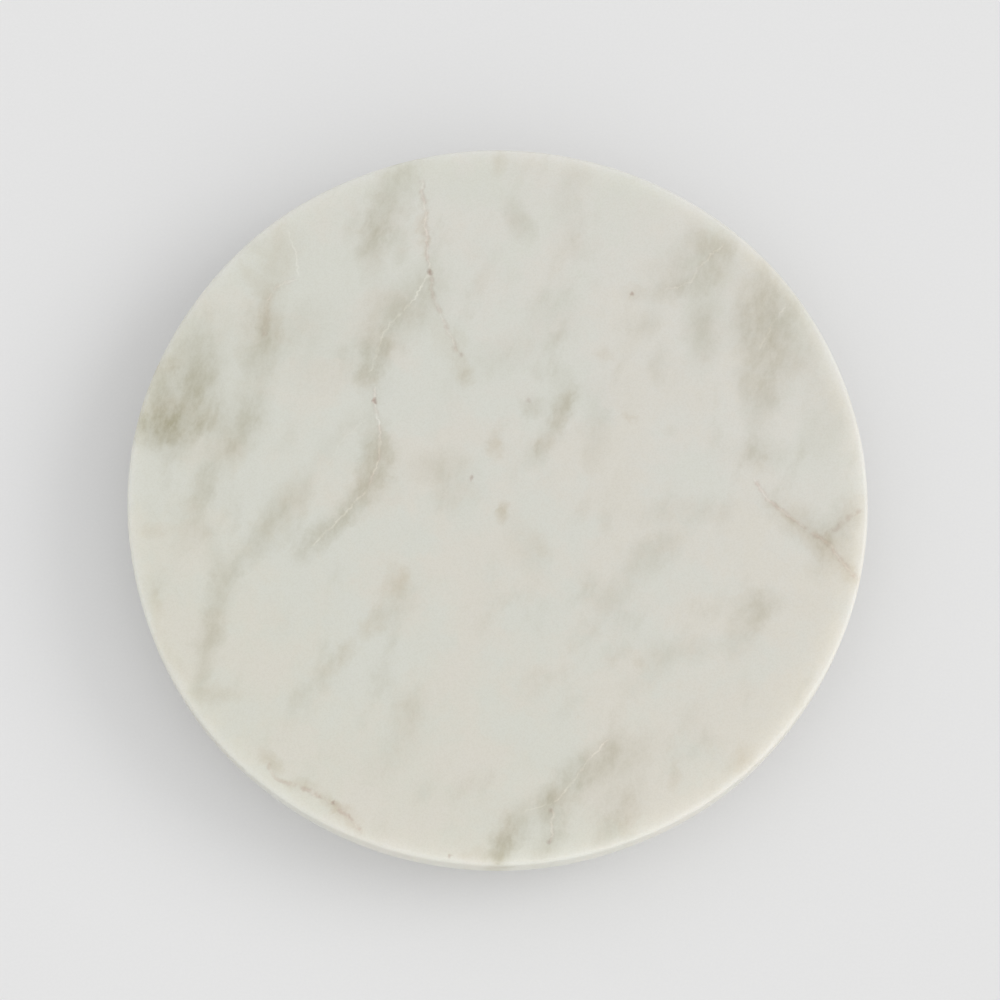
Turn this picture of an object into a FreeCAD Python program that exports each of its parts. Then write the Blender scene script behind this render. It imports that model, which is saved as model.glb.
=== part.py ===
# Marble lazy susan turntable, in millimetres.
#
# A round marble plate turns on a ring ball bearing above a smaller marble base, which stands on four
# rubber feet. +Z is up. The origin is on the table under the centre of the plate, and the turning axis is Z.
#
# Standing still: the feet, the base, the bearing's inner ring, and the screws and washers that join them.
# Turning: the plate, its bonded inserts, the bearing's outer ring, its screws and its ball filling plug.
# Between them: the balls, which roll in the two grooves, and the retainer that keeps them apart.
import FreeCAD, Part
import math
import os

# Plate and base.
PLATE_DIAMETER = 300.0
PLATE_THICKNESS = 15.0
BASE_DIAMETER = 200.0
BASE_THICKNESS = 12.0
TOP_ARRIS = 1.5
BOTTOM_ARRIS = 1.0

# Feet: tapered rubber pads, seated in shallow recesses in the base.
FOOT_COUNT = 4
FOOT_DIAMETER = 22.0
FOOT_SOLE_DIAMETER = 20.0
FOOT_HEIGHT = 4.0
FOOT_RECESS_DEPTH = 1.0
FOOT_RECESS_CLEARANCE = 0.2
FOOT_CIRCLE_RADIUS = 82.0
FOOT_FIRST_ANGLE = 45.0
FOOT_SOLE_ROUND = 0.6
GRIP_GROOVE_RADII = (4.5, 7.0)
GRIP_GROOVE_WIDTH = 0.8
GRIP_GROOVE_DEPTH = 0.4

# Ring bearing. The outer ring stands a step above the inner one, so that each ring touches only one disc.
RING_HEIGHT = 8.2
RING_STEP = 0.8
RING_CHAMFER = 0.5
BEARING_BORE_DIAMETER = 92.0
BEARING_OUTSIDE_DIAMETER = 144.0
BALL_CIRCLE_RADIUS = 58.0
BALL_DIAMETER = 4.0
BALL_COUNT = 24
GROOVE_CLEARANCE = 0.06
LAND_GAP = 1.4
RETAINER_WALL = 0.8
RETAINER_HEIGHT = 6.6
POCKET_CLEARANCE = 0.15

# Ball filling plug: a set screw in the side of the outer ring.
PLUG_DIAMETER = 5.0
PLUG_HOLE_CLEARANCE = 0.05
PLUG_BACKSET = 0.6
PLUG_SOCKET_FLATS = 2.5
PLUG_SOCKET_DEPTH = 3.0
PLUG_ANGLE = 0.0

# M4 screws. The nominal thread is a plain shank in a hole that is a hair wider.
THREAD_DIAMETER = 4.0
THREAD_CLEARANCE = 0.02
FREE_HOLE_DIAMETER = 4.5
SCREW_LENGTH = 14.0
SCREW_TIP_CHAMFER = 0.5
SCREWS_PER_RING = 4

# Countersunk screws that hold the outer ring to the plate, and the brass inserts bonded into the plate.
RING_SCREW_CIRCLE_RADIUS = 66.5
RING_SCREW_FIRST_ANGLE = 45.0
COUNTERSUNK_HEAD_DIAMETER = 8.0
COUNTERSUNK_HEAD_RIM = 0.3
COUNTERSUNK_BACKSET = 0.1
COUNTERSINK_CLEARANCE = 0.1
COUNTERSUNK_SOCKET_FLATS = 2.5
COUNTERSUNK_SOCKET_DEPTH = 1.5
INSERT_DIAMETER = 7.0
INSERT_LENGTH = 8.0
INSERT_BOND_GAP = 0.2
INSERT_GROOVE_COUNT = 3
INSERT_GROOVE_DEPTH = 0.4
INSERT_GROOVE_WIDTH = 0.9

# Cap screws and washers that hold the base to the inner ring, in counterbores under the base.
BASE_SCREW_CIRCLE_RADIUS = 51.0
BASE_SCREW_FIRST_ANGLE = 0.0
CAP_HEAD_DIAMETER = 7.0
CAP_HEAD_HEIGHT = 4.0
CAP_HEAD_ROUND = 0.4
CAP_SOCKET_FLATS = 3.0
CAP_SOCKET_DEPTH = 2.0
WASHER_DIAMETER = 9.0
WASHER_BORE_DIAMETER = 4.3
WASHER_THICKNESS = 0.8
COUNTERBORE_DIAMETER = 10.0
COUNTERBORE_DEPTH = 5.2

# Heights above the table that follow from the dimensions.
BASE_BOTTOM = FOOT_HEIGHT - FOOT_RECESS_DEPTH
BASE_TOP = BASE_BOTTOM + BASE_THICKNESS
INNER_RING_TOP = BASE_TOP + RING_HEIGHT
OUTER_RING_BOTTOM = BASE_TOP + RING_STEP
PLATE_BOTTOM = OUTER_RING_BOTTOM + RING_HEIGHT
PLATE_TOP = PLATE_BOTTOM + PLATE_THICKNESS
BALL_HEIGHT = (BASE_TOP + PLATE_BOTTOM) / 2
COUNTERBORE_TOP = BASE_BOTTOM + COUNTERBORE_DEPTH
CAP_HEAD_TOP = COUNTERBORE_TOP - WASHER_THICKNESS

UP = FreeCAD.Vector(0, 0, 1)
ORIGIN = FreeCAD.Vector(0, 0, 0)
SAME_HEIGHT = 1e-6


def point(x, z):
    """A point of a section that is turned about Z: distance from the axis, then height."""
    return FreeCAD.Vector(x, 0, z)


def turned(*section):
    """The solid that a closed section of straight sides makes when it is turned about Z."""
    outline = Part.makePolygon([point(x, z) for x, z in section] + [point(*section[0])])
    return Part.Face(outline).revolve(ORIGIN, UP, 360)


def cylinder(diameter, bottom, top, x=0.0, y=0.0):
    """An upright cylinder between two heights."""
    return Part.makeCylinder(diameter / 2, top - bottom, FreeCAD.Vector(x, y, bottom), UP)


def hexagon(flats, bottom, top):
    """An upright hexagonal prism, for a socket of that size across its flats."""
    corner = flats / math.sqrt(3)
    angles = [math.radians(60 * k) for k in range(7)]
    ring = [FreeCAD.Vector(corner * math.cos(a), corner * math.sin(a), bottom) for a in angles]
    return Part.Face(Part.makePolygon(ring)).extrude(UP * (top - bottom))


def rounded(shape, radius, height):
    """The shape with its outermost circular edge at that height rounded."""
    level = [e for e in shape.Edges if all(abs(v.Z - height) < SAME_HEIGHT for v in e.Vertexes)]
    circles = [e for e in level if isinstance(e.Curve, Part.Circle)]
    return shape.makeFillet(radius, [max(circles, key=lambda e: e.Curve.Radius)])


def placed(shape, radius, angle):
    """A copy moved out along X by radius, then turned about Z by angle in degrees."""
    copy = shape.copy()
    copy.translate(FreeCAD.Vector(radius, 0, 0))
    copy.rotate(ORIGIN, UP, angle)
    return copy


def around(shape, count, radius, first_angle):
    """Copies of a shape, evenly spaced on a circle."""
    return [placed(shape, radius, first_angle + 360 / count * k) for k in range(count)]


def disc(diameter, bottom, top):
    """A flat round slab whose top and bottom edges are eased by hand."""
    slab = rounded(cylinder(diameter, bottom, top), TOP_ARRIS, top)
    return rounded(slab, BOTTOM_ARRIS, bottom)


def marble_plate():
    """The turning plate, with blind holes for its inserts in the underside."""
    hole_diameter = INSERT_DIAMETER + 2 * INSERT_BOND_GAP
    hole = cylinder(hole_diameter, PLATE_BOTTOM, PLATE_BOTTOM + INSERT_LENGTH + INSERT_BOND_GAP)
    holes = around(hole, SCREWS_PER_RING, RING_SCREW_CIRCLE_RADIUS, RING_SCREW_FIRST_ANGLE)
    return disc(PLATE_DIAMETER, PLATE_BOTTOM, PLATE_TOP).cut(holes)


def marble_base():
    """The standing disc, with counterbored screw holes and foot recesses."""
    screw_hole = cylinder(FREE_HOLE_DIAMETER, BASE_BOTTOM, BASE_TOP)
    screw_hole = screw_hole.fuse(cylinder(COUNTERBORE_DIAMETER, BASE_BOTTOM, COUNTERBORE_TOP))
    recess = cylinder(FOOT_DIAMETER + 2 * FOOT_RECESS_CLEARANCE, BASE_BOTTOM, FOOT_HEIGHT)
    holes = around(screw_hole, SCREWS_PER_RING, BASE_SCREW_CIRCLE_RADIUS, BASE_SCREW_FIRST_ANGLE)
    recesses = around(recess, FOOT_COUNT, FOOT_CIRCLE_RADIUS, FOOT_FIRST_ANGLE)
    return disc(BASE_DIAMETER, BASE_BOTTOM, BASE_TOP).cut(holes + recesses)


def foot():
    """A tapered rubber pad with two grip grooves in its sole."""
    wide, narrow = FOOT_DIAMETER / 2, FOOT_SOLE_DIAMETER / 2
    pad = turned((0, 0), (narrow, 0), (wide, BASE_BOTTOM), (wide, FOOT_HEIGHT), (0, FOOT_HEIGHT))
    pad = rounded(pad, FOOT_SOLE_ROUND, 0)
    for radius in GRIP_GROOVE_RADII:
        inside, outside = radius - GRIP_GROOVE_WIDTH / 2, radius + GRIP_GROOVE_WIDTH / 2
        groove = cylinder(2 * outside, 0, GRIP_GROOVE_DEPTH)
        pad = pad.cut(groove.cut(cylinder(2 * inside, 0, GRIP_GROOVE_DEPTH)))
    return pad


def race(inside, outside, bottom, top):
    """A bearing ring with chamfered edges and the ball groove."""
    c = RING_CHAMFER
    ring = turned(
        (inside + c, bottom),
        (outside - c, bottom),
        (outside, bottom + c),
        (outside, top - c),
        (outside - c, top),
        (inside + c, top),
        (inside, top - c),
        (inside, bottom + c),
    )
    groove_radius = BALL_DIAMETER / 2 + GROOVE_CLEARANCE
    return ring.cut(Part.makeTorus(BALL_CIRCLE_RADIUS, groove_radius, UP * BALL_HEIGHT))


def bearing_inner_ring():
    """The standing ring, threaded for the screws that come up through the base."""
    land = BALL_CIRCLE_RADIUS - LAND_GAP / 2
    ring = race(BEARING_BORE_DIAMETER / 2, land, BASE_TOP, INNER_RING_TOP)
    thread = cylinder(THREAD_DIAMETER, BASE_TOP, INNER_RING_TOP)
    return ring.cut(around(thread, SCREWS_PER_RING, BASE_SCREW_CIRCLE_RADIUS, BASE_SCREW_FIRST_ANGLE))


def countersink():
    """The space of a countersunk screw that points up from the underside of the outer ring."""
    rim = COUNTERSUNK_HEAD_DIAMETER / 2 + COUNTERSINK_CLEARANCE
    shank = FREE_HOLE_DIAMETER / 2
    low = OUTER_RING_BOTTOM
    shoulder = low + COUNTERSUNK_BACKSET + COUNTERSUNK_HEAD_RIM
    neck = shoulder + rim - shank
    top = PLATE_BOTTOM
    return turned((0, low), (rim, low), (rim, shoulder), (shank, neck), (shank, top), (0, top))


def plug_space(diameter, inner, outer):
    """A cylinder along the filling hole, between two distances from the turning axis."""
    start = FreeCAD.Vector(inner, 0, BALL_HEIGHT)
    along = FreeCAD.Vector(1, 0, 0)
    space = Part.makeCylinder(diameter / 2, outer - inner, start, along)
    space.rotate(ORIGIN, UP, PLUG_ANGLE)
    return space


def bearing_outer_ring():
    """The turning ring, with countersunk screw holes from below and the ball filling hole in its side."""
    land = BALL_CIRCLE_RADIUS + LAND_GAP / 2
    outside = BEARING_OUTSIDE_DIAMETER / 2
    ring = race(land, outside, OUTER_RING_BOTTOM, PLATE_BOTTOM)
    space = countersink()
    holes = around(space, SCREWS_PER_RING, RING_SCREW_CIRCLE_RADIUS, RING_SCREW_FIRST_ANGLE)
    filling_hole = plug_space(PLUG_DIAMETER + 2 * PLUG_HOLE_CLEARANCE, BALL_CIRCLE_RADIUS, outside)
    return ring.cut(holes + [filling_hole])


def ball_fill_plug():
    """The set screw that closes the filling hole, its end just clear of the ball groove."""
    groove_bottom = BALL_CIRCLE_RADIUS + BALL_DIAMETER / 2 + GROOVE_CLEARANCE
    outer_end = BEARING_OUTSIDE_DIAMETER / 2 - PLUG_BACKSET
    socket = hexagon(PLUG_SOCKET_FLATS, 0, PLUG_SOCKET_DEPTH)
    socket.rotate(ORIGIN, FreeCAD.Vector(0, 1, 0), 90)
    socket.translate(FreeCAD.Vector(outer_end - PLUG_SOCKET_DEPTH, 0, BALL_HEIGHT))
    socket.rotate(ORIGIN, UP, PLUG_ANGLE)
    return plug_space(PLUG_DIAMETER, groove_bottom + PLUG_HOLE_CLEARANCE, outer_end).cut(socket)


def ball_retainer():
    """The thin ring between the lands, with a round pocket for each ball."""
    middle = 2 * BALL_CIRCLE_RADIUS
    low = BALL_HEIGHT - RETAINER_HEIGHT / 2
    high = BALL_HEIGHT + RETAINER_HEIGHT / 2
    band = cylinder(middle + RETAINER_WALL, low, high).cut(cylinder(middle - RETAINER_WALL, low, high))
    pocket_radius = BALL_DIAMETER / 2 + POCKET_CLEARANCE
    start = FreeCAD.Vector(-LAND_GAP / 2, 0, BALL_HEIGHT)
    pocket = Part.makeCylinder(pocket_radius, LAND_GAP, start, FreeCAD.Vector(1, 0, 0))
    return band.cut(around(pocket, BALL_COUNT, BALL_CIRCLE_RADIUS, 0))


def threaded_shank(bottom, top):
    """A screw's shank, with a chamfered tip at its top end."""
    r = THREAD_DIAMETER / 2 - THREAD_CLEARANCE
    tip = SCREW_TIP_CHAMFER
    return turned((0, bottom), (r, bottom), (r, top - tip), (r - tip, top), (0, top))


def countersunk_screw():
    """A countersunk socket screw, on the Z axis, at the height it has in the outer ring."""
    low = OUTER_RING_BOTTOM + COUNTERSUNK_BACKSET
    rim = COUNTERSUNK_HEAD_DIAMETER / 2
    shank = THREAD_DIAMETER / 2 - THREAD_CLEARANCE
    shoulder = low + COUNTERSUNK_HEAD_RIM
    neck = shoulder + rim - shank
    head = turned((0, low), (rim, low), (rim, shoulder), (shank, neck), (0, neck))
    socket = hexagon(COUNTERSUNK_SOCKET_FLATS, low, low + COUNTERSUNK_SOCKET_DEPTH)
    return head.fuse(threaded_shank(low, low + SCREW_LENGTH)).removeSplitter().cut(socket)


def cap_screw():
    """A cap screw, on the Z axis, at the height it has in the base."""
    low = CAP_HEAD_TOP - CAP_HEAD_HEIGHT
    head = rounded(cylinder(CAP_HEAD_DIAMETER, low, CAP_HEAD_TOP), CAP_HEAD_ROUND, low)
    socket = hexagon(CAP_SOCKET_FLATS, low, low + CAP_SOCKET_DEPTH)
    return head.fuse(threaded_shank(CAP_HEAD_TOP, CAP_HEAD_TOP + SCREW_LENGTH)).removeSplitter().cut(socket)


def washer():
    """A plain washer between a cap screw's head and the marble."""
    body = cylinder(WASHER_DIAMETER, CAP_HEAD_TOP, COUNTERBORE_TOP)
    return body.cut(cylinder(WASHER_BORE_DIAMETER, CAP_HEAD_TOP, COUNTERBORE_TOP))


def insert():
    """A brass insert with bonding grooves around it, flush with the underside of the plate."""
    outer = INSERT_DIAMETER / 2
    top = PLATE_BOTTOM + INSERT_LENGTH
    body = cylinder(INSERT_DIAMETER, PLATE_BOTTOM, top).cut(cylinder(THREAD_DIAMETER, PLATE_BOTTOM, top))
    pitch = INSERT_LENGTH / (INSERT_GROOVE_COUNT + 1)
    for k in range(INSERT_GROOVE_COUNT):
        middle = PLATE_BOTTOM + pitch * (k + 1)
        low, high = middle - INSERT_GROOVE_WIDTH / 2, middle + INSERT_GROOVE_WIDTH / 2
        band = cylinder(INSERT_DIAMETER, low, high)
        body = body.cut(band.cut(cylinder(2 * (outer - INSERT_GROOVE_DEPTH), low, high)))
    return body


def bearing_balls():
    """Each ball, keyed by its own name."""
    ball = Part.makeSphere(BALL_DIAMETER / 2, UP * BALL_HEIGHT)
    balls = around(ball, BALL_COUNT, BALL_CIRCLE_RADIUS, 0)
    return {f"bearing_ball_{k + 1:02d}": [b] for k, b in enumerate(balls)}


def feet():
    """Each foot, keyed by its own name."""
    pads = around(foot(), FOOT_COUNT, FOOT_CIRCLE_RADIUS, FOOT_FIRST_ANGLE)
    return {f"foot_{k + 1}": [pad] for k, pad in enumerate(pads)}


def parts():
    """Every node: its name and its separate solids."""
    ring_circle = (SCREWS_PER_RING, RING_SCREW_CIRCLE_RADIUS, RING_SCREW_FIRST_ANGLE)
    base_circle = (SCREWS_PER_RING, BASE_SCREW_CIRCLE_RADIUS, BASE_SCREW_FIRST_ANGLE)
    nodes = {
        "marble_plate": [marble_plate()],
        "plate_inserts": around(insert(), *ring_circle),
        "bearing_outer_ring": [bearing_outer_ring()],
        "outer_ring_screws": around(countersunk_screw(), *ring_circle),
        "ball_fill_plug": [ball_fill_plug()],
        "ball_retainer": [ball_retainer()],
        "bearing_inner_ring": [bearing_inner_ring()],
        "marble_base": [marble_base()],
        "base_screws": around(cap_screw(), *base_circle),
        "base_screw_washers": around(washer(), *base_circle),
    }
    return {**nodes, **bearing_balls(), **feet()}


def main():
    os.makedirs("parts", exist_ok=True)
    for name, solids in parts().items():
        whole = Part.makeCompound([s for shape in solids for s in shape.Solids])
        if not whole.isValid() or any(s.Volume <= 0 for s in whole.Solids):
            raise ValueError(f"{name} isn't a valid solid")
        whole.exportStep(f"parts/{name}.step")
        print(f"{name:22s} {len(whole.Solids):2d} solids {whole.Volume:12.1f} mm3")


main()
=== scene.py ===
"""Looks of the marble lazy susan turntable, in metres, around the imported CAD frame."""

import math

import bmesh
import bpy
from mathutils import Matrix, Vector, noise


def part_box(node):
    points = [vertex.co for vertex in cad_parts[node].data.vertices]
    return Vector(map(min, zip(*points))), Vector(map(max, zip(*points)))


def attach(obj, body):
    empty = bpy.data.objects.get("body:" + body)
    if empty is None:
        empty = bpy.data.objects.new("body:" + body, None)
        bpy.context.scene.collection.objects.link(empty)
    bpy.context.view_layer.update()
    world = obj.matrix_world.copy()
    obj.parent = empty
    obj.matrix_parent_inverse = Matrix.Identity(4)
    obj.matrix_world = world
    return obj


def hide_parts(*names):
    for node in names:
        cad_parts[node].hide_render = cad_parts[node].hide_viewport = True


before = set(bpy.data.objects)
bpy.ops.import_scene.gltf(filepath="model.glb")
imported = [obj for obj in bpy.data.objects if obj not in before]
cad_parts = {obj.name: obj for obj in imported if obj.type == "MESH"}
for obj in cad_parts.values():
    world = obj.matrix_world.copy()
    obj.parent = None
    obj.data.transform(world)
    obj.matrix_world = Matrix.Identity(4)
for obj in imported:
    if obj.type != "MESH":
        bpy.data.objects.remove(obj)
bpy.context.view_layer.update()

MM = 0.001
UP = Vector((0, 0, 1))

# The plate's own sizes, from the frame.
PLATE_LOW, PLATE_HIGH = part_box("marble_plate")
PLATE_RADIUS = (PLATE_HIGH.x - PLATE_LOW.x) / 2
PLATE_TOP = PLATE_HIGH.z

# How the stone is cut: segments round the disc, eased edges and the waviness that hand grinding leaves. A
# larger detail gives shorter waves, and CUT_BAND is the outer share of the radius that is uneven.
DISC_SEGMENTS = 360
TOP_EASE = 1.5 * MM
BOTTOM_EASE = 1.0 * MM
EASE_STEPS = 8
SIDE_STEPS = 10
OUTLINE_WAVE = 0.5 * MM
OUTLINE_DETAIL = 2.2
SIDE_WAVE = 0.02 * MM
SIDE_DETAIL = 40
SIDE_WAVE_HEIGHT = 4 * MM
EASE_VARIATION = 0.3
EASE_DETAIL = 3
CHIP_DEPTH = 0.18 * MM
CHIP_SIZE = 2.2 * MM
CHIP_RARITY = 0.42
CUT_BAND = 0.03
# Rings of the flat faces inside the rim, as shares of the radius.
TOP_RINGS = (0.3, 0.6, 0.85)
INSERT_HOLE_GAP = 0.2 * MM
# Corners of a CAD mesh closer than this are one. An edge with a smaller angle, in degrees, looks smooth.
SAME_CORNER = 0.001 * MM
SMOOTH_BELOW = 30

# The bearing's outer ring, with the CAD model's sizes. Its CAD mesh is a little too coarse for the ball
# groove: some facets reach 0.08 mm into the balls. The inner ring's mesh clears them.
RING_SEGMENTS = 360
RING_CHAMFER = 0.5 * MM
GROOVE_CLEARANCE = 0.06 * MM
GROOVE_STEPS = 24
FREE_HOLE_RADIUS = 2.25 * MM
COUNTERSINK_GAP = 0.1 * MM
COUNTERSINK_RIM = 0.4 * MM
PLUG_HOLE_GAP = 0.05 * MM
HOLE_SEGMENTS = 48
CUT_PAST = 1.0 * MM

# Veins in the plate. Places are fractions of the plate's outline as the camera sees it, u to the right and
# v away, with the outline's middle at 0, 0. as_seen() turns the plate's own places into these.
# A cloud is (u, v, half its length, half its width, its direction in degrees, how strong it is).
OLIVE_CLOUDS = (
    # The darkest patch, at the left rim.
    (-0.90, 0.35, 0.17, 0.14, 60, 0.50),
    (-0.90, 0.24, 0.14, 0.05, 6, 0.78),
    (-0.86, 0.29, 0.13, 0.09, 20, 0.44),
    (-0.80, 0.41, 0.09, 0.05, 60, 0.42),
    (-0.80, 0.31, 0.08, 0.05, 75, 0.36),
    (-0.84, 0.48, 0.13, 0.10, 15, 0.26),
    (-0.80, 0.19, 0.16, 0.08, 5, 0.20),
    # The streak down from the top, left of the middle.
    (-0.255, 0.945, 0.10, 0.05, 40, 0.34),
    (-0.29, 0.88, 0.12, 0.055, 62, 0.40),
    (-0.325, 0.80, 0.12, 0.05, 78, 0.42),
    (-0.337, 0.71, 0.11, 0.04, 88, 0.24),
    # The vein that runs on from the dark speck: a cloud, a knot and a crescent.
    (-0.20, 0.63, 0.09, 0.05, 60, 0.28),
    (-0.26, 0.57, 0.14, 0.085, 35, 0.40),
    (-0.31, 0.50, 0.13, 0.06, 62, 0.40),
    (-0.335, 0.43, 0.09, 0.04, 75, 0.40),
    (-0.345, 0.385, 0.055, 0.035, 80, 0.50),
    (-0.325, 0.20, 0.11, 0.035, -82, 0.46),
    (-0.322, 0.13, 0.10, 0.045, 80, 0.56),
    (-0.36, 0.055, 0.10, 0.04, 58, 0.46),
    (-0.42, -0.01, 0.11, 0.038, 45, 0.52),
    (-0.48, -0.075, 0.09, 0.028, 48, 0.36),
    (-0.43, 0.20, 0.16, 0.03, 52, 0.18),
    # The broken vein further left.
    (-0.625, 0.56, 0.11, 0.05, 85, 0.36),
    (-0.635, 0.47, 0.09, 0.07, 70, 0.50),
    (-0.655, 0.36, 0.13, 0.05, 82, 0.30),
    (-0.69, 0.25, 0.10, 0.06, 62, 0.42),
    (-0.725, 0.17, 0.12, 0.045, 60, 0.32),
    (-0.79, 0.10, 0.10, 0.035, 80, 0.38),
    (-0.82, 0.0, 0.12, 0.04, 70, 0.36),
    (-0.785, -0.08, 0.10, 0.03, -75, 0.24),
    (-0.58, 0.0, 0.12, 0.055, 62, 0.44),
    (-0.64, -0.07, 0.12, 0.045, 50, 0.32),
    (-0.72, -0.15, 0.12, 0.03, 60, 0.26),
    (-0.755, -0.25, 0.13, 0.04, 72, 0.46),
    (-0.78, -0.36, 0.13, 0.035, 80, 0.34),
    (-0.80, -0.47, 0.09, 0.03, 80, 0.22),
    (-0.53, 0.52, 0.14, 0.08, 20, 0.20),
    (-0.47, 0.40, 0.13, 0.06, 15, 0.18),
    # The comma in the middle and the spots round it.
    (0.168, 0.32, 0.09, 0.032, 85, 0.36),
    (0.160, 0.25, 0.09, 0.032, 66, 0.42),
    (0.120, 0.18, 0.07, 0.030, 45, 0.38),
    (0.095, 0.298, 0.032, 0.03, 0, 0.50),
    (0.262, 0.23, 0.11, 0.035, 88, 0.34),
    (0.15, 0.57, 0.07, 0.05, 20, 0.28),
    (0.06, 0.46, 0.20, 0.05, 25, 0.20),
    (-0.17, 0.13, 0.08, 0.045, 15, 0.38),
    (-0.105, 0.07, 0.08, 0.06, 70, 0.26),
    (0.08, -0.10, 0.10, 0.05, -60, 0.22),
    (0.50, 0.0, 0.14, 0.04, 5, 0.26),
    (0.43, -0.11, 0.09, 0.045, 30, 0.36),
    (0.36, -0.18, 0.11, 0.045, 50, 0.30),
    (0.28, -0.24, 0.10, 0.045, -50, 0.30),
    # The clouds at the upper right.
    (0.58, 0.73, 0.11, 0.08, 30, 0.30),
    (0.51, 0.68, 0.12, 0.08, 30, 0.28),
    (0.48, 0.62, 0.09, 0.03, 10, 0.36),
    (0.55, 0.57, 0.13, 0.055, 88, 0.40),
    (0.555, 0.47, 0.10, 0.05, 80, 0.30),
    (0.395, 0.52, 0.05, 0.04, 0, 0.24),
    (0.72, 0.60, 0.15, 0.09, 70, 0.36),
    (0.79, 0.60, 0.14, 0.07, -60, 0.34),
    (0.70, 0.50, 0.13, 0.075, 90, 0.40),
    (0.73, 0.40, 0.13, 0.075, 75, 0.42),
    (0.705, 0.30, 0.12, 0.045, 88, 0.32),
    (0.80, 0.47, 0.14, 0.08, -70, 0.30),
    (0.72, 0.165, 0.07, 0.05, 0, 0.40),
    (0.90, 0.25, 0.12, 0.08, 70, 0.24),
    (0.437, 0.40, 0.06, 0.03, 85, 0.32),
    # The right and the near side.
    (0.80, -0.02, 0.10, 0.05, -38, 0.30),
    (0.87, -0.07, 0.10, 0.06, -30, 0.36),
    (0.93, -0.03, 0.10, 0.045, 45, 0.44),
    (0.70, -0.26, 0.07, 0.045, 10, 0.50),
    (0.67, -0.33, 0.09, 0.045, 62, 0.38),
    (0.49, -0.39, 0.10, 0.04, 0, 0.30),
    (0.40, -0.46, 0.10, 0.04, 40, 0.22),
    (0.30, -0.69, 0.14, 0.06, 20, 0.38),
    (0.22, -0.75, 0.14, 0.055, 45, 0.44),
    (0.13, -0.81, 0.10, 0.04, 30, 0.34),
    (0.145, -0.89, 0.10, 0.035, 82, 0.40),
    (0.03, -0.90, 0.09, 0.045, 66, 0.60),
    (0.005, -0.965, 0.07, 0.035, 70, 0.55),
    (0.33, -0.80, 0.14, 0.07, 80, 0.22),
    (-0.24, -0.56, 0.08, 0.04, 60, 0.36),
    (-0.28, -0.68, 0.12, 0.05, 40, 0.16),
    (0.055, 0.82, 0.07, 0.035, -60, 0.44),
    (0.20, 0.90, 0.12, 0.04, 78, 0.22),
    (0.216, 0.74, 0.06, 0.04, 0, 0.22),
)
TAN_CLOUDS = (
    (-0.275, -0.20, 0.06, 0.05, 62, 0.62),
    (-0.33, -0.30, 0.09, 0.04, 50, 0.44),
    (-0.405, -0.39, 0.05, 0.03, 60, 0.40),
    (-0.44, -0.43, 0.05, 0.03, 30, 0.36),
    (-0.625, 0.57, 0.11, 0.03, 85, 0.36),
    (-0.66, 0.65, 0.08, 0.03, -50, 0.44),
    (-0.59, 0.71, 0.13, 0.07, 80, 0.36),
    (-0.20, 0.80, 0.16, 0.018, -86, 0.40),
    (-0.13, 0.47, 0.13, 0.045, -65, 0.30),
    (-0.09, 0.39, 0.06, 0.035, -75, 0.50),
    (-0.895, 0.30, 0.06, 0.04, 0, 0.40),
    (-0.89, 0.40, 0.06, 0.03, 20, 0.26),
    (-0.012, 0.185, 0.05, 0.032, 80, 0.56),
    (0.012, 0.0, 0.04, 0.022, 80, 0.75),
    (0.175, 0.29, 0.09, 0.028, 78, 0.34),
    (0.13, 0.185, 0.06, 0.025, 40, 0.24),
    (0.11, -0.09, 0.07, 0.025, -60, 0.26),
    (0.58, 0.745, 0.08, 0.05, -20, 0.46),
    (0.60, 0.67, 0.09, 0.06, -40, 0.26),
    (0.365, 0.608, 0.04, 0.03, 0, 0.40),
    (0.353, 0.263, 0.03, 0.022, 0, 0.40),
    (0.463, 0.232, 0.028, 0.022, 0, 0.34),
    (0.287, 0.44, 0.035, 0.03, 0, 0.34),
    (0.72, 0.165, 0.05, 0.035, 0, 0.26),
    (0.775, -0.01, 0.10, 0.02, -38, 0.40),
    (0.90, -0.12, 0.12, 0.05, -48, 0.44),
    (0.955, -0.18, 0.07, 0.03, -50, 0.36),
    (-0.61, -0.70, 0.06, 0.03, -60, 0.50),
    (-0.54, -0.765, 0.06, 0.02, -10, 0.44),
    (-0.45, -0.81, 0.06, 0.026, -28, 0.62),
    (-0.40, -0.855, 0.08, 0.03, -50, 0.50),
    (-0.93, -0.055, 0.05, 0.035, 0, 0.35),
    (-0.93, -0.26, 0.11, 0.025, -70, 0.38),
    (-0.88, -0.40, 0.10, 0.03, -60, 0.24),
    (-0.76, -0.51, 0.09, 0.035, 0, 0.38),
    (0.655, -0.70, 0.08, 0.04, 55, 0.46),
    (0.474, -0.745, 0.06, 0.02, 80, 0.24),
    (0.025, -0.91, 0.09, 0.035, 66, 0.40),
    (0.355, -0.85, 0.10, 0.035, 80, 0.34),
    (-0.055, -0.96, 0.07, 0.03, 10, 0.40),
    (0.38, -0.42, 0.04, 0.02, -60, 0.34),
    (0.005, 0.975, 0.06, 0.03, 80, 0.42),
)
# Small dark red specks: u, v and strength.
SPECKS = (
    (-0.184, 0.67, 0.9),
    (-0.332, 0.308, 0.9),
    (0.365, 0.608, 0.7),
    (-0.068, 0.095, 0.6),
    (-0.10, 0.44, 0.4),
    (-0.446, -0.812, 0.7),
    (0.14, -0.92, 0.5),
    (0.145, -0.84, 0.5),
    (-0.13, -0.965, 0.5),
    (0.085, 0.31, 0.3),
)
SPECK_RADIUS = 0.009
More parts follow.
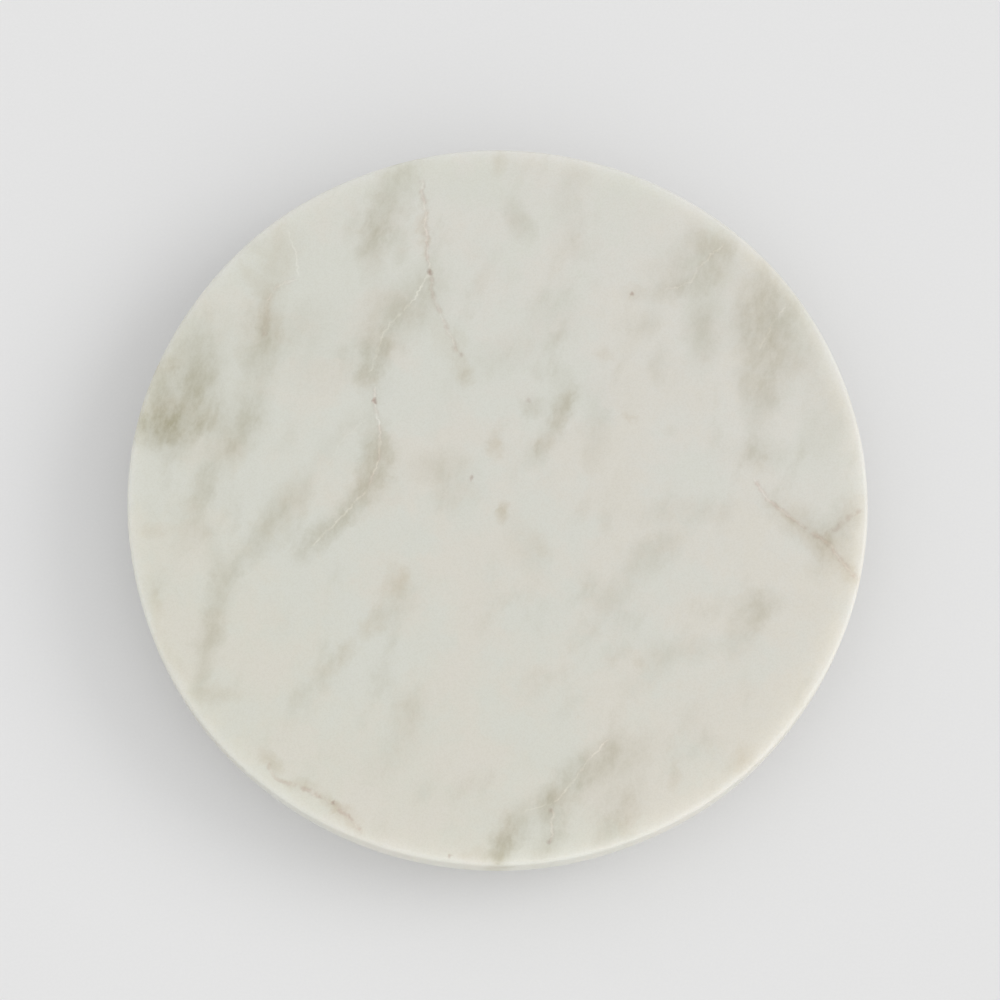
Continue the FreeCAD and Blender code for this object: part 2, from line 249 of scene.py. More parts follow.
# Cracks: how white the line is, how pink its sides are, and the points it passes through.
CRACKS = (
    (0.7, 0.50, ((-0.205, 0.94), (-0.197, 0.82), (-0.184, 0.67))),
    (0.4, 0.45, ((-0.184, 0.67), (-0.175, 0.60), (-0.14, 0.52), (-0.105, 0.44))),
    (0.9, 0.00, ((-0.184, 0.67), (-0.22, 0.60), (-0.26, 0.56))),
    (0.5, 0.00, ((-0.26, 0.56), (-0.31, 0.50), (-0.345, 0.385))),
    (0.8, 0.30, ((-0.332, 0.36), (-0.333, 0.305), (-0.315, 0.22), (-0.320, 0.14), (-0.35, 0.06))),
    (0.8, 0.10, ((-0.35, 0.06), (-0.42, -0.01), (-0.50, -0.10))),
    (0.16, 0.00, ((-0.35, 0.27), (-0.42, 0.19), (-0.47, 0.12))),
    (0.4, 0.00, ((-0.565, 0.79), (-0.545, 0.73), (-0.54, 0.656))),
    (0.6, 0.20, ((-0.54, 0.656), (-0.60, 0.628), (-0.625, 0.59))),
    (0.2, 0.40, ((-0.625, 0.59), (-0.62, 0.54), (-0.63, 0.49))),
    (0.12, 0.00, ((-0.30, 0.54), (-0.38, 0.525), (-0.47, 0.53))),
    (0.1, 0.00, ((-0.32, 0.44), (-0.40, 0.42), (-0.48, 0.43))),
    (0.7, 0.10, ((0.614, 0.75), (0.573, 0.72), (0.538, 0.68), (0.519, 0.64), (0.449, 0.62))),
    (0.5, 0.00, ((0.78, 0.585), (0.74, 0.52), (0.70, 0.45))),
    (0.5, 0.55, ((0.69, 0.10), (0.73, 0.03), (0.786, -0.01), (0.843, -0.05))),
    (0.5, 0.55, ((0.843, -0.05), (0.90, -0.10), (0.968, -0.19))),
    (0.1, 0.40, ((0.99, 0.01), (0.94, -0.02), (0.88, -0.075))),
    (0.7, 0.10, ((0.305, -0.63), (0.235, -0.71), (0.168, -0.80), (0.15, -0.825))),
    (0.7, 0.25, ((0.15, -0.825), (0.147, -0.87), (0.143, -0.925))),
    (0.5, 0.00, ((0.15, -0.82), (0.11, -0.825), (0.07, -0.84))),
    (0.2, 0.45, ((-0.62, -0.70), (-0.60, -0.745), (-0.54, -0.765))),
    (0.3, 0.60, ((-0.54, -0.765), (-0.45, -0.81), (-0.40, -0.85), (-0.36, -0.90))),
)
# How far from its line a crack and its stain fade out, and the share of the chord over which its ends fade.
CRACK_WIDTH = 0.0042
CRACK_STAIN_WIDTH = 0.0115
CRACK_END = 0.08
# How many times their listed sizes the olive clouds reach, and the share of their strength this leaves.
CLOUD_REACH = 1.34
CLOUD_FAINTNESS = 0.72
# Pushes that roughen the veins, as pairs of a noise scale and how far it pushes.
CLOUD_WAVES = ((5.0, 0.03), (14.0, 0.05), (38.0, 0.035), (90.0, 0.014))
CRACK_WAVES = ((14.0, 0.020), (45.0, 0.016), (120.0, 0.008))
BASE_WAVES = ((2.5, 0.35), (9.0, 0.08), (38.0, 0.03))
# Where in the noise the base's stone was cut, so that it differs from the plate's.
BASE_CUT_AT = (3.7, 1.3, 0.6)

# Colours in linear light. A tint multiplies the stone's own colour where its mask is full.
STONE_COOL = (0.712, 0.716, 0.658)
STONE_CREAM = (0.713, 0.707, 0.632)
PINKISH_TINT = (1.026, 1.004, 1.020)
OLIVE_TINT = (0.64, 0.605, 0.49)
TAN_TINT = (0.74, 0.65, 0.51)
PINK_TINT = (0.75, 0.64, 0.60)
SPECK_TINT = (0.50, 0.32, 0.27)
WHITE_TINT = (1.25, 1.25, 1.28)
CRYSTAL_TINT = (0.96, 0.955, 0.945)
# The streaks run along one direction, in degrees, and are this many times longer than wide.
STREAK_DIRECTION = 72
STREAK_STRETCH = 1.9
# The stone's face: how deep its grain and its slow undulation are, and how far light travels under it.
GRAIN_DEPTH = 0.04 * MM
UNDULATION_DEPTH = 0.10 * MM
LIGHT_TRAVEL = 13 * MM

# The metals, the plastic and the rubber: how fine the lathe's lines are, how deep the marks are, and the
# tints of the darker places.
LATHE_LINES = 2600.0
LATHE_LINE_DEPTH = 0.01 * MM
LATHE_LINE_TINT = (0.86,) * 3
METAL_MARK_DEPTH = 0.008 * MM
METAL_PATCH_TINT = (0.85,) * 3
MOTTLE_TINT = (0.8,) * 3

# The picture: a long lens, about a metre and a half away, 15 degrees off straight down.
CAMERA_DISTANCE = 1.5
CAMERA_ELEVATION = 74.9
CAMERA_LENS = 133.4
CAMERA_AIM = Vector((0.0010, -0.0009, PLATE_TOP))
# The camera sees the plate's near half larger than its far half, and its near wall below the top face.
# These say how much each place shrinks with distance, and how far above the outline's middle the plate's is.
FAR_SHRINK = PLATE_RADIUS / CAMERA_DISTANCE * math.cos(math.radians(CAMERA_ELEVATION))
MIDDLE_LIFT = 0.039
CAMERA_NEAR_LIMIT = 0.01

# The floor, how much light falls on it in the open, and the share of that light that comes from all round.
FLOOR_SIZE = 60.0
FLOOR_DARK = (0.795,) * 3
FLOOR_PALE = (0.805,) * 3
FLOOR_LIGHT = 0.99
FILL_SHARE = 0.63


class Graph:
    """A material's node tree, built one node at a time. Every call returns the new node's output."""

    def __init__(self, name):
        self.material = bpy.data.materials.new(name)
        self.material.use_nodes = True
        self.tree = self.material.node_tree
        self.shader = self.tree.nodes["Principled BSDF"]

    def feed(self, socket, value):
        """Links another node's output to a socket, or sets the socket's value."""
        if isinstance(value, bpy.types.NodeSocket):
            self.tree.links.new(value, socket)
        else:
            socket.default_value = value

    def node(self, kind, inputs=None, output=0, **settings):
        """Adds a node with these settings and inputs, and returns one of its outputs."""
        made = self.tree.nodes.new(kind)
        for key, value in settings.items():
            setattr(made, key, value)
        for key, value in (inputs or {}).items():
            self.feed(made.inputs[key], value)
        return made.outputs[output]

    def math(self, operation, a, b=0.0, c=0.0, clamp=False):
        return self.node("ShaderNodeMath", {0: a, 1: b, 2: c}, operation=operation, use_clamp=clamp)

    def vector(self, operation, a, b, c=(0, 0, 0)):
        return self.node("ShaderNodeVectorMath", {0: a, 1: b, 2: c}, operation=operation)

    def scaled(self, vector, factor):
        return self.node("ShaderNodeVectorMath", {0: vector, "Scale": factor}, operation="SCALE")

    def spread(self, value, low, high, to_low=0.0, to_high=1.0):
        """The value's range from low to high, spread smoothly over another range and held at its ends."""
        inputs = {"Value": value, "From Min": low, "From Max": high, "To Min": to_low, "To Max": to_high}
        return self.node("ShaderNodeMapRange", inputs, interpolation_type="SMOOTHSTEP")

    def noise(self, vector, scale, detail=3.0, roughness=0.5, output="Fac"):
        inputs = {"Vector": vector, "Scale": scale, "Detail": detail, "Roughness": roughness}
        return self.node("ShaderNodeTexNoise", inputs, output=output)

    def mix(self, factor, a, b, blend="MIX"):
        """Two colours mixed by a factor."""
        made = self.tree.nodes.new("ShaderNodeMix")
        made.data_type = "RGBA"
        made.blend_type = blend
        for index, value in ((0, factor), (6, a), (7, b)):
            self.feed(made.inputs[index], (*value, 1.0) if isinstance(value, tuple) else value)
        return made.outputs[2]

    def tinted(self, colour, mask, tint):
        """The colour multiplied by a tint where the mask is full."""
        return self.mix(mask, colour, tint, blend="MULTIPLY")

    def place(self):
        """The point being shaded, in the piece's own metres, so that a pattern turns with its piece."""
        return self.node("ShaderNodeTexCoord", output="Object")

    def bump(self, height, distance, under=None):
        """The normal of a surface with this relief, on top of the relief under it."""
        inputs = {"Height": height, "Distance": distance, "Strength": 1.0}
        if under is not None:
            inputs["Normal"] = under
        return self.node("ShaderNodeBump", inputs)

    def surface(self, **inputs):
        """Sets the shader's inputs, given with _ for each space, and returns the material."""
        for key, value in inputs.items():
            self.feed(self.shader.inputs[key.replace("_", " ")], value)
        return self.material


def cloud_mask(g, where, clouds, reach=CLOUD_REACH, faintness=CLOUD_FAINTNESS):
    """The sum of soft ellipses, each strongest in its middle."""
    total = 0.0
    for u, v, length, width, direction, strength in clouds:
        inputs = {
            "Vector": where,
            "Location": (u, v, 0),
            "Rotation": (0, 0, math.radians(direction)),
            "Scale": (length * reach, width * reach, 1),
        }
        local = g.node("ShaderNodeMapping", inputs, vector_type="TEXTURE")
        soft = g.node("ShaderNodeTexGradient", {"Vector": local}, output="Fac", gradient_type="SPHERICAL")
        total = g.math("MULTIPLY_ADD", soft, strength * faintness, total)
    return total


def crack_offset(g, where, points):
    """How far a place is to the side of a crack and how far along it, in fractions of its chord, and the
    chord's length."""
    start, end = Vector(points[0]), Vector(points[-1])
    chord = end - start
    along, across = chord.normalized(), Vector((-chord.y, chord.x)).normalized()
    inputs = {
        "Vector": where,
        "Location": (*start, 0),
        "Rotation": (0, 0, math.atan2(chord.y, chord.x)),
        "Scale": (chord.length, chord.length, 1),
    }
    local = g.node("ShaderNodeMapping", inputs, vector_type="TEXTURE")
    split = g.tree.nodes.new("ShaderNodeSeparateXYZ")
    g.feed(split.inputs[0], local)
    line = g.tree.nodes.new("ShaderNodeFloatCurve")
    curve = line.mapping.curves[0]
    middle = 0.5
    for _ in points[2:]:
        curve.points.new(middle, middle)
    for spot, point in zip(curve.points, points):
        step = Vector(point) - start
        spot.location = (step.dot(along) / chord.length, middle + step.dot(across) / chord.length)
        spot.handle_type = "VECTOR"
    line.mapping.update()
    g.feed(line.inputs["Value"], split.outputs["X"])
    side = g.math("SUBTRACT", g.math("ADD", split.outputs["Y"], middle), line.outputs[0])
    return g.math("ABSOLUTE", side), split.outputs["X"], chord.length


def crack_masks(g, where, cracks):
    """The white lines and the pink stains of all the cracks."""
    white, pink = 0.0, 0.0
    for how_white, how_pink, points in cracks:
        side, along, length = crack_offset(g, where, points)
        middle = g.math("ABSOLUTE", g.math("SUBTRACT", along, 0.5))
        within = g.spread(middle, 0.5, 0.5 - CRACK_END)
        line = g.spread(side, CRACK_WIDTH / length, 0.0)
        stain = g.spread(side, CRACK_STAIN_WIDTH / length, 0.0)
        white = g.math("MULTIPLY_ADD", g.math("MULTIPLY", line, within), how_white, white)
        pink = g.math("MULTIPLY_ADD", g.math("MULTIPLY", stain, within), how_pink, pink)
    return white, pink


def speck_mask(g, where, specks):
    """Small round specks."""
    round_ones = [(u, v, SPECK_RADIUS, SPECK_RADIUS, 0, strength) for u, v, strength in specks]
    return cloud_mask(g, where, round_ones, reach=1.0, faintness=1.0)


def wavy(g, place, amounts):
    """A place pushed about by noise, given as pairs of scale and amount."""
    for scale, amount in amounts:
        push = g.noise(place, scale, detail=2.0, output="Color")
        place = g.vector("MULTIPLY_ADD", g.vector("SUBTRACT", push, (0.5, 0.5, 0.5)), (amount,) * 3, place)
    return place


def as_seen(g, place):
    """Places on the plate, changed to fractions of its outline in the picture."""
    away = g.node("ShaderNodeSeparateXYZ", {0: place}, output="Y")
    distance = g.math("MULTIPLY_ADD", away, FAR_SHRINK, 1.0)
    seen = g.scaled(place, g.math("DIVIDE", 1.0, distance))
    return g.vector("ADD", seen, (0, MIDDLE_LIFT, 0))


def streaks(g, place, scale, detail=4.0, roughness=0.6):
    """Noise drawn out along the direction in which the stone's layers run."""
    inputs = {
        "Vector": place,
        "Rotation": (0, 0, math.radians(STREAK_DIRECTION)),
        "Scale": (STREAK_STRETCH, 1, 1),
    }
    along = g.node("ShaderNodeMapping", inputs, vector_type="TEXTURE")
    return g.noise(along, scale, detail=detail, roughness=roughness)


def stone_colour(g, place, coolness, pinkness):
    """White marble between its veins, with faint dabs and fine crystals. Coolness and pinkness run from 0
    to 1."""
    colour = g.tinted(g.mix(coolness, STONE_CREAM, STONE_COOL), pinkness, PINKISH_TINT)
    dabs = g.spread(streaks(g, place, 11.0), 0.50, 0.76, to_high=0.24)
    where = g.spread(g.noise(place, 3.2, detail=2.0), 0.40, 0.62, to_low=0.25)
    colour = g.tinted(colour, g.math("MULTIPLY", dabs, where), OLIVE_TINT)
    crystals = g.noise(place, 210.0, detail=2.0, roughness=0.8)
    return g.tinted(colour, g.spread(crystals, 0.40, 0.66), CRYSTAL_TINT)


def finished_stone(g, place, colour):
    """Honed marble: a soft sheen, light that travels under the surface, and a barely uneven face."""
    grain = g.noise(place, 160.0, detail=4.0, roughness=0.6)
    undulation = g.noise(place, 22.0, detail=2.0)
    relief = g.bump(grain, GRAIN_DEPTH, under=g.bump(undulation, UNDULATION_DEPTH))
    patches = g.noise(place, 12.0, detail=4.0)
    return g.surface(
        Base_Color=colour,
        Roughness=g.spread(patches, 0.3, 0.7, to_low=0.36, to_high=0.50),
        Normal=relief,
        Subsurface_Weight=0.85,
        Subsurface_Radius=(1.0, 0.97, 0.92),
        Subsurface_Scale=LIGHT_TRAVEL,
        IOR=1.5,
        Specular_IOR_Level=0.35,
    )


def plate_marble():
    """The plate's white marble, with its own clouds, cracks and specks. It is cooler at the far side and
    pinker at the right."""
    g = Graph("plate_marble")
    place = g.scaled(g.place(), 1 / PLATE_RADIUS)
    seen = as_seen(g, place)
    cloud_place = wavy(g, seen, CLOUD_WAVES)
    crack_place = wavy(g, seen, CRACK_WAVES)
    u = g.node("ShaderNodeSeparateXYZ", {0: cloud_place}, output="X")
    v = g.node("ShaderNodeSeparateXYZ", {0: cloud_place}, output="Y")
    blotches = g.noise(cloud_place, 4.0, detail=6.0, roughness=0.62)
    uneven = g.spread(blotches, 0.34, 0.66, to_low=-1.0, to_high=1.0)
    coolness = g.spread(g.math("ADD", v, uneven), -1.2, 0.9)
    pinkness = g.spread(g.math("SUBTRACT", u, uneven), -1.1, 1.1)
    colour = stone_colour(g, place, coolness, pinkness)
    flecks = streaks(g, place, 22.0, detail=6.0, roughness=0.7)
    broken = g.spread(flecks, 0.32, 0.68, to_low=0.65, to_high=1.4)
    olive = g.math("MULTIPLY", cloud_mask(g, cloud_place, OLIVE_CLOUDS), broken, clamp=True)
    tan = g.math("MULTIPLY", cloud_mask(g, cloud_place, TAN_CLOUDS, reach=1.0), broken, clamp=True)
    white, pink = crack_masks(g, crack_place, CRACKS)
    whole = g.spread(g.noise(place, 30.0, detail=3.0), 0.35, 0.65, to_low=0.4)
    patchy = g.spread(g.noise(place, 42.0, detail=5.0), 0.38, 0.62, to_low=0.2)
    specks = g.math("MINIMUM", speck_mask(g, crack_place, SPECKS), 1.0)
    colour = g.tinted(colour, olive, OLIVE_TINT)
    colour = g.tinted(colour, tan, TAN_TINT)
    colour = g.tinted(colour, g.math("MULTIPLY", pink, patchy, clamp=True), PINK_TINT)
    colour = g.tinted(colour, g.math("MULTIPLY", white, whole, clamp=True), WHITE_TINT)
    colour = g.tinted(colour, specks, SPECK_TINT)
    return finished_stone(g, place, colour)


def base_marble():
    """The base's marble: the same stone, with veins of its own from noise."""
    g = Graph("base_marble")
    place = g.vector("ADD", g.scaled(g.place(), 1 / PLATE_RADIUS), BASE_CUT_AT)
    drift = g.spread(g.noise(place, 2.6, detail=3.0), 0.35, 0.65)
    colour = stone_colour(g, place, drift, g.math("SUBTRACT", 1.0, drift))
    bent = wavy(g, place, BASE_WAVES)
    ridge = g.math("ABSOLUTE", g.math("SUBTRACT", g.noise(bent, 1.8, detail=2.0), 0.5))
    veins = g.math("MULTIPLY", g.spread(ridge, 0.05, 0.0), g.spread(g.noise(place, 4.0), 0.45, 0.7))
    broken = g.spread(streaks(g, place, 20.0), 0.34, 0.66, to_low=0.2)
    colour = g.tinted(colour, g.math("MULTIPLY", veins, broken), OLIVE_TINT)
    return finished_stone(g, place, colour)


def turned_metal(name, colour, lines, roughness):
    """Metal turned on a lathe: fine rings round the turning axis on flat faces, and lines by height on
    walls. Lines says how fine they are."""
    g = Graph(name)
    place = g.place()
    level = g.vector("MULTIPLY", place, (1, 1, 0))
    radius = g.node("ShaderNodeVectorMath", {0: level}, output="Value", operation="LENGTH")
    height = g.node("ShaderNodeSeparateXYZ", {0: place}, output="Z")
    normal = g.node("ShaderNodeNewGeometry", output="Normal")
    facing_up = g.math("ABSOLUTE", g.node("ShaderNodeSeparateXYZ", {0: normal}, output="Z"))
    is_face = g.spread(facing_up, 0.5, 0.9)
    section = g.node("ShaderNodeCombineXYZ", {"X": g.math("MULTIPLY", radius, is_face), "Y": height})
    rings = g.noise(section, lines, detail=3.0, roughness=0.7)
    wear = g.noise(place, 90.0, detail=4.0)
    return g.surface(
        Base_Color=g.tinted(colour, g.spread(rings, 0.3, 0.8, to_high=0.5), LATHE_LINE_TINT),
        Metallic=1.0,
        Roughness=g.spread(wear, 0.3, 0.7, to_low=roughness - 0.02, to_high=roughness + 0.03),
        Normal=g.bump(rings, LATHE_LINE_DEPTH),
    )


def plain_metal(name, colour, roughness):
    """Drawn or pressed metal: a faint patchy finish with fine marks."""
    g = Graph(name)
    place = g.place()
    patches = g.noise(place, 220.0, detail=4.0)
    marks = g.noise(place, 1600.0, detail=3.0)
    return g.surface(
        Base_Color=g.tinted(colour, g.spread(patches, 0.35, 0.7, to_high=0.4), METAL_PATCH_TINT),
        Metallic=1.0,
        Roughness=g.spread(patches, 0.3, 0.7, to_low=roughness - 0.05, to_high=roughness + 0.07),
        Normal=g.bump(marks, METAL_MARK_DEPTH),
    )


def moulded(name, colour, roughness, grain, depth):
    """Moulded plastic or rubber: slight mottling, and an even texture of this grain and depth."""
    g = Graph(name)
    place = g.place()
    mottle = g.noise(place, 130.0, detail=4.0)
    texture = g.noise(place, grain, detail=2.0)
    return g.surface(
        Base_Color=g.tinted(colour, g.spread(mottle, 0.35, 0.7, to_high=0.6), MOTTLE_TINT),
        Roughness=g.spread(mottle, 0.3, 0.7, to_low=roughness - 0.08, to_high=roughness + 0.08),
        Normal=g.bump(texture, depth),
    )


def islands(node):
    """The lowest and highest corner of each separate solid in a CAD node."""
    mesh = bmesh.new()
    mesh.from_mesh(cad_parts[node].data)
    bmesh.ops.remove_doubles(mesh, verts=mesh.verts, dist=SAME_CORNER)
    waiting, found = set(mesh.verts), []
    while waiting:
        reached, edge = set(), [waiting.pop()]
        while edge:
            vert = edge.pop()
            reached.add(vert)
            for other in (e.other_vert(vert) for e in vert.link_edges):
                if other in waiting:
                    waiting.discard(other)
                    edge.append(other)
        corners = list(zip(*(v.co for v in reached)))
        found.append((Vector(map(min, corners)), Vector(map(max, corners))))
    mesh.free()
    return sorted(found, key=lambda box: tuple(round(c, 5) for c in box[0]))


def disc_profile(radius, low, high, top_ease, bottom_ease):
    """A disc's section from near the middle of its top, over the rim, to near the middle of its underside:
    (radius, height) pairs."""
    quarter = [math.pi / 2 * k / EASE_STEPS for k in range(EASE_STEPS + 1)]
    section = [(radius * share, high) for share in TOP_RINGS]
    section += [
        (radius - top_ease * (1 - math.sin(a)), high - top_ease * (1 - math.cos(a))) for a in quarter
    ]
    top, bottom = high - top_ease, low + bottom_ease
    section += [(radius, top + (bottom - top) * k / SIDE_STEPS) for k in range(1, SIDE_STEPS)]
    section += [
        (radius - bottom_ease * (1 - math.cos(a)), low + bottom_ease * (1 - math.sin(a))) for a in quarter
    ]
    return section + [(radius * share, low) for share in reversed(TOP_RINGS)]


def hand_cut(angle, radius, height, disc_radius, seed):
    """A point of the disc, moved near the rim as hand grinding leaves it: a wavy outline, ripples and small
    chips."""
    x, y = math.cos(angle), math.sin(angle)
    outline = noise.noise(Vector((OUTLINE_DETAIL * x, OUTLINE_DETAIL * y, seed))) * OUTLINE_WAVE
    ripple_place = Vector((SIDE_DETAIL * x, SIDE_DETAIL * y, height / SIDE_WAVE_HEIGHT + seed))
    ripple = noise.noise(ripple_place) * SIDE_WAVE
    chip = noise.noise(Vector((radius * x, radius * y, height)) / CHIP_SIZE + Vector((seed, 0, 0)))
    at_edge = max(0.0, radius / disc_radius - (1 - CUT_BAND)) / CUT_BAND
    moved = radius + (outline + ripple - max(0.0, chip - CHIP_RARITY) * CHIP_DEPTH) * at_edge
    return Vector((moved * x, moved * y, height))


def join_rows(mesh, rows):
    """Fills the wall between each closed row of points and the next."""
    for upper, under in zip(rows, rows[1:]):
        for k in range(len(upper)):
            after = (k + 1) % len(upper)
            mesh.faces.new((upper[k], under[k], under[after], upper[after]))


def new_object(mesh, name):
    """The object of a finished bmesh, its faces turned outward."""
    bmesh.ops.recalc_face_normals(mesh, faces=mesh.faces)
    data = bpy.data.meshes.new(name)
    mesh.to_mesh(data)
    mesh.free()
    made = bpy.data.objects.new(name, data)
    bpy.context.scene.collection.objects.link(made)
    return made


def stand_in(mesh, name, node, body, material):
    """A finished bmesh as a piece in the place of a CAD node."""
    piece = new_object(mesh, name)
    piece.data.materials.append(material)
    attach(piece, body)
    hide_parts(node)
    return piece


def stone_disc(name, node, body, material, seed):
    """A hand-cut stone disc in the place of a CAD node."""
    low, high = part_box(node)
    radius = (high.x - low.x) / 2
    mesh = bmesh.new()
    rings = []
    steps = [math.tau * k / DISC_SEGMENTS for k in range(DISC_SEGMENTS)]
    eases = []
    for a in steps:
        ease_place = Vector((EASE_DETAIL * math.cos(a), EASE_DETAIL * math.sin(a), seed + 5))
        eases.append(1 + EASE_VARIATION * noise.noise(ease_place))
    sections = [disc_profile(radius, low.z, high.z, TOP_EASE * e, BOTTOM_EASE * e) for e in eases]
    for row in range(len(sections[0])):
        points = [hand_cut(a, *section[row], radius, seed) for a, section in zip(steps, sections)]
        rings.append([mesh.verts.new(p) for p in points])
    join_rows(mesh, rings)
    for ring, height, turn in ((rings[0], high.z, 1), (rings[-1], low.z, -1)):
        middle = mesh.verts.new((0, 0, height))
        for k in range(DISC_SEGMENTS):
            pair = (ring[k], ring[(k + 1) % DISC_SEGMENTS])
            mesh.faces.new((middle, *pair[::turn]))
    return stand_in(mesh, name, node, body, material)


def outer_ring_section(low, high, inside, outside, ball, groove_radius):
    """The outer ring's closed section, as (radius, height) pairs: chamfered corners, and the ball groove in
    its inner wall."""
    c = RING_CHAMFER
    lip = math.acos((inside - ball.x) / groove_radius)
    angles = [lip * (1 - 2 * k / GROOVE_STEPS) for k in range(GROOVE_STEPS + 1)]
    return [
        (inside + c, low),
        (outside - c, low),
        (outside, low + c),
        (outside, high - c),
        (outside - c, high),
        (inside + c, high),
        (inside, high - c),
        *((ball.x + groove_radius * math.cos(a), ball.z + groove_radius * math.sin(a)) for a in angles),
        (inside, low + c),
    ]


def turned_ring(name, node, body, material, section):
    """A ring turned from a closed section, in the place of a CAD node."""
    mesh = bmesh.new()
    angles = [math.tau * k / RING_SEGMENTS for k in range(RING_SEGMENTS)]
    rows = [[mesh.verts.new((r * math.cos(a), r * math.sin(a), z)) for a in angles] for r, z in section]
    join_rows(mesh, rows + rows[:1])
    return stand_in(mesh, name, node, body, material)


def cutter(start, along, steps):
    """A solid to cut a round hole with. Steps are pairs: how far along it is, and its radius there."""
    turn = along.to_track_quat("Z", "Y")
    angles = [math.tau * k / HOLE_SEGMENTS for k in range(HOLE_SEGMENTS)]
    mesh = bmesh.new()
    rows = []
    for distance, radius in steps:
        points = [Vector((radius * math.cos(a), radius * math.sin(a), distance)) for a in angles]
        rows.append([mesh.verts.new(start + turn @ point) for point in points])
    join_rows(mesh, rows)
    mesh.faces.new(rows[0])
    mesh.faces.new(rows[-1])
    return new_object(mesh, "cutter")


def drill(piece, cutters):
    """Cuts the holes out of a piece for good, and removes the cutters."""
    for cutter in cutters:
        cut = piece.modifiers.new("hole", "BOOLEAN")
        cut.operation = "DIFFERENCE"
        cut.solver = "EXACT"
        cut.object = cutter
    bpy.context.view_layer.update()
    shape = piece.evaluated_get(bpy.context.evaluated_depsgraph_get())
    piece.data = bpy.data.meshes.new_from_object(shape)
    piece.modifiers.clear()
    for cutter in cutters:
        bpy.data.objects.remove(cutter)


def shade(piece):
    """Smooth shading, broken at the sharp edges."""
    bpy.context.view_layer.objects.active = piece
    piece.select_set(True)
    bpy.ops.object.shade_smooth_by_angle(angle=math.radians(SMOOTH_BELOW))
    piece.select_set(False)


def build_plate():
    """The turning plate, with the blind holes for its inserts."""
    plate = stone_disc("plate", "marble_plate", "turntable", plate_marble(), seed=1.0)
    cutters = []
    for low, high in islands("plate_inserts"):
        middle, radius = (low + high) / 2, (high.x - low.x) / 2 + INSERT_HOLE_GAP
        start = Vector((middle.x, middle.y, low.z))
        depth = high.z - low.z + INSERT_HOLE_GAP
        cutters.append(cutter(start, UP, ((-CUT_PAST, radius), (depth, radius))))
    drill(plate, cutters)
    shade(plate)


def build_outer_ring(aluminium):
    """The turning ring, with its countersunk screw holes and the ball filling hole."""
    ball_low, ball_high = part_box("bearing_ball_01")
    ball, ball_radius = (ball_low + ball_high) / 2, (ball_high.z - ball_low.z) / 2
    low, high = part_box("bearing_outer_ring")
    inside = 2 * ball.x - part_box("bearing_inner_ring")[1].x
    section = outer_ring_section(low.z, high.z, inside, high.x, ball, ball_radius + GROOVE_CLEARANCE)
    ring = turned_ring("outer_ring", "bearing_outer_ring", "turntable", aluminium, section)
    cutters = []
    for screw_low, screw_high in islands("outer_ring_screws"):
        middle, rim = (screw_low + screw_high) / 2, (screw_high.x - screw_low.x) / 2 + COUNTERSINK_GAP
        neck = COUNTERSINK_RIM + rim - FREE_HOLE_RADIUS
        past = high.z - low.z + CUT_PAST
        steps = (
            (-CUT_PAST, rim),
            (COUNTERSINK_RIM, rim),
            (neck, FREE_HOLE_RADIUS),
            (past, FREE_HOLE_RADIUS),
        )
        start = Vector((middle.x, middle.y, low.z))
        cutters.append(cutter(start, UP, steps))
    plug_low, plug_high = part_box("ball_fill_plug")
    plug_hole_radius = (plug_high.y - plug_low.y) / 2 + PLUG_HOLE_GAP
    steps = ((0, plug_hole_radius), (high.x - ball.x + CUT_PAST, plug_hole_radius))
    cutters.append(cutter(ball, Vector((1, 0, 0)), steps))
    drill(ring, cutters)
    shade(ring)


def finish_cad_nodes(aluminium):
    """Gives the CAD nodes that stay their materials."""
    steel = plain_metal("screw_steel", (0.58, 0.58, 0.57), roughness=0.32)
    black_steel = plain_metal("black_steel", (0.10, 0.10, 0.11), roughness=0.42)
    ball_steel = plain_metal("ball_steel", (0.72, 0.72, 0.73), roughness=0.12)
    brass = turned_metal("turned_brass", (0.76, 0.57, 0.27), LATHE_LINES, roughness=0.28)
    nylon = moulded("nylon", (0.80, 0.79, 0.74), roughness=0.45, grain=1800.0, depth=0.01 * MM)
    rubber = moulded("foot_rubber", (0.035, 0.035, 0.036), roughness=0.70, grain=2600.0, depth=0.03 * MM)
    finishes = {
        "marble_base": base_marble(),
        "plate_inserts": brass,
        "bearing_inner_ring": aluminium,
        "outer_ring_screws": steel,
        "base_screws": steel,
        "base_screw_washers": steel,
        "ball_fill_plug": black_steel,
        "ball_retainer": nylon,
    }
    for name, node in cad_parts.items():
        if name.startswith("foot_"):
            finishes[name] = rubber
        if name.startswith("bearing_ball_"):
            finishes[name] = ball_steel
        if name in finishes:
            node.data.materials.clear()
            node.data.materials.append(finishes[name])


def build_floor():
    """A plain pale floor that reaches the horizon."""
    half = FLOOR_SIZE / 2
    data = bpy.data.meshes.new("floor")
    corners = [(-half, -half, 0), (half, -half, 0), (half, half, 0), (-half, half, 0)]
    data.from_pydata(corners, [], [(0, 1, 2, 3)])
    floor = bpy.data.objects.new("floor", data)
    bpy.context.scene.collection.objects.link(floor)
    g = Graph("floor_paper")
    grain = g.noise(g.place(), 900.0, detail=2.0)
    colour = g.mix(g.spread(grain, 0.3, 0.7), FLOOR_DARK, FLOOR_PALE)
    data.materials.append(g.surface(Base_Color=colour, Roughness=0.95, Specular_IOR_Level=0.1))


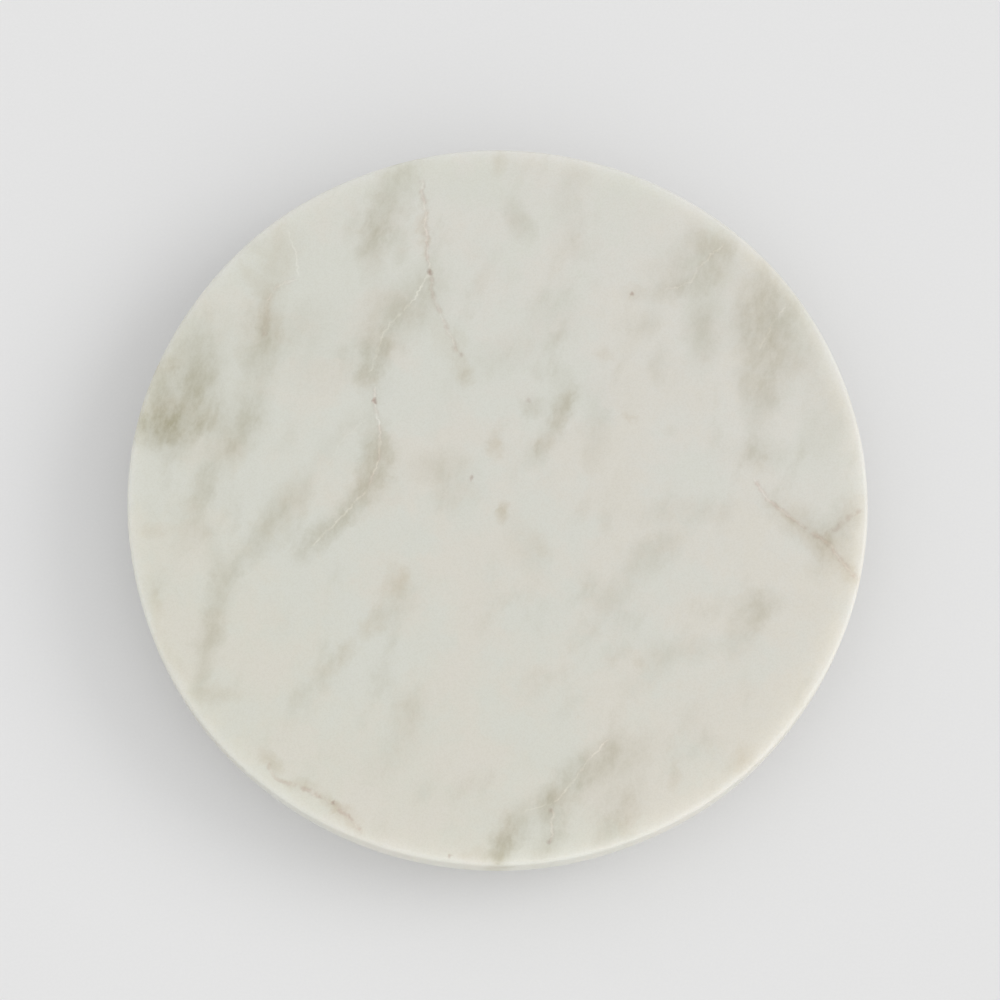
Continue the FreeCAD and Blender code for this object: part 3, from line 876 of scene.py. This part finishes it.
def sun(name, azimuth, elevation, share, spread):
    """A distant lamp that gives a share of the light on the floor, or roughly that if it is low and wide.
    Azimuth runs from +X towards +Y, and spread is how wide the lamp looks. Angles are in degrees."""
    data = bpy.data.lights.new(name, "SUN")
    data.energy = share * FLOOR_LIGHT * math.pi / math.sin(math.radians(elevation))
    data.angle = math.radians(spread)
    lamp = bpy.data.objects.new(name, data)
    a, e = math.radians(azimuth), math.radians(elevation)
    towards = Vector((math.cos(a) * math.cos(e), math.sin(a) * math.cos(e), math.sin(e)))
    lamp.rotation_mode = "QUATERNION"
    lamp.rotation_quaternion = towards.to_track_quat("Z", "Y")
    bpy.context.scene.collection.objects.link(lamp)


def light_scene():
    """Soft studio light: a ring light round the lens, a wide softbox at the right, a low one at the lower
    right that glows in the plate's edge, and an even fill from all round."""
    sun("ring", azimuth=-90, elevation=CAMERA_ELEVATION, share=0.18, spread=8)
    sun("softbox", azimuth=8, elevation=36, share=0.115, spread=35)
    sun("low", azimuth=-50, elevation=12, share=0.048, spread=80)
    world = bpy.data.worlds.new("studio")
    world.use_nodes = True
    background = world.node_tree.nodes["Background"]
    background.inputs["Color"].default_value = (1, 1, 1, 1)
    background.inputs["Strength"].default_value = FILL_SHARE * FLOOR_LIGHT
    bpy.context.scene.world = world
    bpy.context.scene.view_settings.view_transform = "Standard"


def place_camera():
    """The camera, at the picture's distance and angle."""
    data = bpy.data.cameras.new("camera")
    data.lens = CAMERA_LENS
    data.clip_start = CAMERA_NEAR_LIMIT
    data.clip_end = 2 * FLOOR_SIZE
    camera = bpy.data.objects.new("camera", data)
    e = math.radians(CAMERA_ELEVATION)
    back = Vector((0, -math.cos(e), math.sin(e)))
    camera.location = CAMERA_AIM + back * CAMERA_DISTANCE
    camera.rotation_mode = "QUATERNION"
    camera.rotation_quaternion = (-back).to_track_quat("-Z", "Y")
    bpy.context.scene.collection.objects.link(camera)
    bpy.context.scene.camera = camera


build_plate()
turned_aluminium = turned_metal("turned_aluminium", (0.78, 0.79, 0.80), LATHE_LINES, roughness=0.30)
build_outer_ring(turned_aluminium)
finish_cad_nodes(turned_aluminium)
build_floor()
light_scene()
place_camera()
